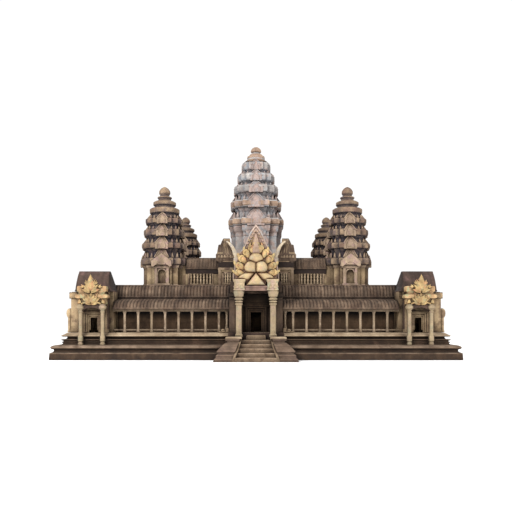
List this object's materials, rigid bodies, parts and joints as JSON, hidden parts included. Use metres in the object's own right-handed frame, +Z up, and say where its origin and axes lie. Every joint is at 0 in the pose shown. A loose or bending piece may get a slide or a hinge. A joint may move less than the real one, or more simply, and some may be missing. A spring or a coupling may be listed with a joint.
{
  "type": "stone temple with five towers",
  "caption": "Stone temple on two moulded terraces: vaulted galleries with pillars, corner pavilions, a stair and porch with a lotus pediment, and five stepped towers.",
  "frame": {"origin": "centre of the plan, on the ground under the lower terrace", "axes": "+Z up, the front with its stair faces -Y, +X to the right of someone who looks at the front"},
  "size_m": [36, 37.9, 23.16],
  "materials": {
    "terrace_stone": "weathered, rough",
    "wall_stone": "weathered, rough",
    "pillar_stone": "dressed, matt",
    "roof_stone": "weathered, ribbed",
    "gold_stone": "carved, gilded, worn",
    "tower_stone": "carved, weathered"
  },
  "bodies": {
    "root": {"central_tower": "tower_stone", "central_tower_spire": "tower_stone", "front_left_colonnade": "pillar_stone", "front_left_gallery_roof": "roof_stone", "front_left_pavilion": "wall_stone", "front_left_pavilion_porch": "gold_stone", "front_left_pavilion_roof": "roof_stone", "front_left_tower": "tower_stone", "front_left_tower_spire": "tower_stone", "front_pediment": "gold_stone", "front_porch": "wall_stone", "front_porch_columns": "pillar_stone", "front_porch_roof": "roof_stone", "front_right_colonnade": "pillar_stone", "front_right_gallery_roof": "roof_stone", "front_right_pavilion": "wall_stone", "front_right_pavilion_porch": "gold_stone", "front_right_pavilion_roof": "roof_stone", "front_right_tower": "tower_stone", "front_right_tower_spire": "tower_stone", "front_stair": "terrace_stone", "left_front_colonnade": "pillar_stone", "left_gallery_roof": "roof_stone", "left_rear_colonnade": "pillar_stone", "lower_terrace": "terrace_stone", "rear_left_colonnade": "pillar_stone", "rear_left_gallery_roof": "roof_stone", "rear_left_pavilion": "wall_stone", "rear_left_pavilion_porch": "gold_stone", "rear_left_pavilion_roof": "roof_stone", "rear_left_tower": "tower_stone", "rear_left_tower_spire": "tower_stone", "rear_pediment": "gold_stone", "rear_porch": "wall_stone", "rear_porch_columns": "pillar_stone", "rear_porch_roof": "roof_stone", "rear_right_colonnade": "pillar_stone", "rear_right_gallery_roof": "roof_stone", "rear_right_pavilion": "wall_stone", "rear_right_pavilion_porch": "gold_stone", "rear_right_pavilion_roof": "roof_stone", "rear_right_tower": "tower_stone", "rear_right_tower_spire": "tower_stone", "rear_stair": "terrace_stone", "right_front_colonnade": "pillar_stone", "right_gallery_roof": "roof_stone", "right_rear_colonnade": "pillar_stone", "temple_core": "wall_stone", "upper_front_gallery": "roof_stone", "upper_left_gallery": "roof_stone", "upper_rear_gallery": "roof_stone", "upper_right_gallery": "roof_stone", "upper_terrace": "terrace_stone"}
  },
  "joints": []
}
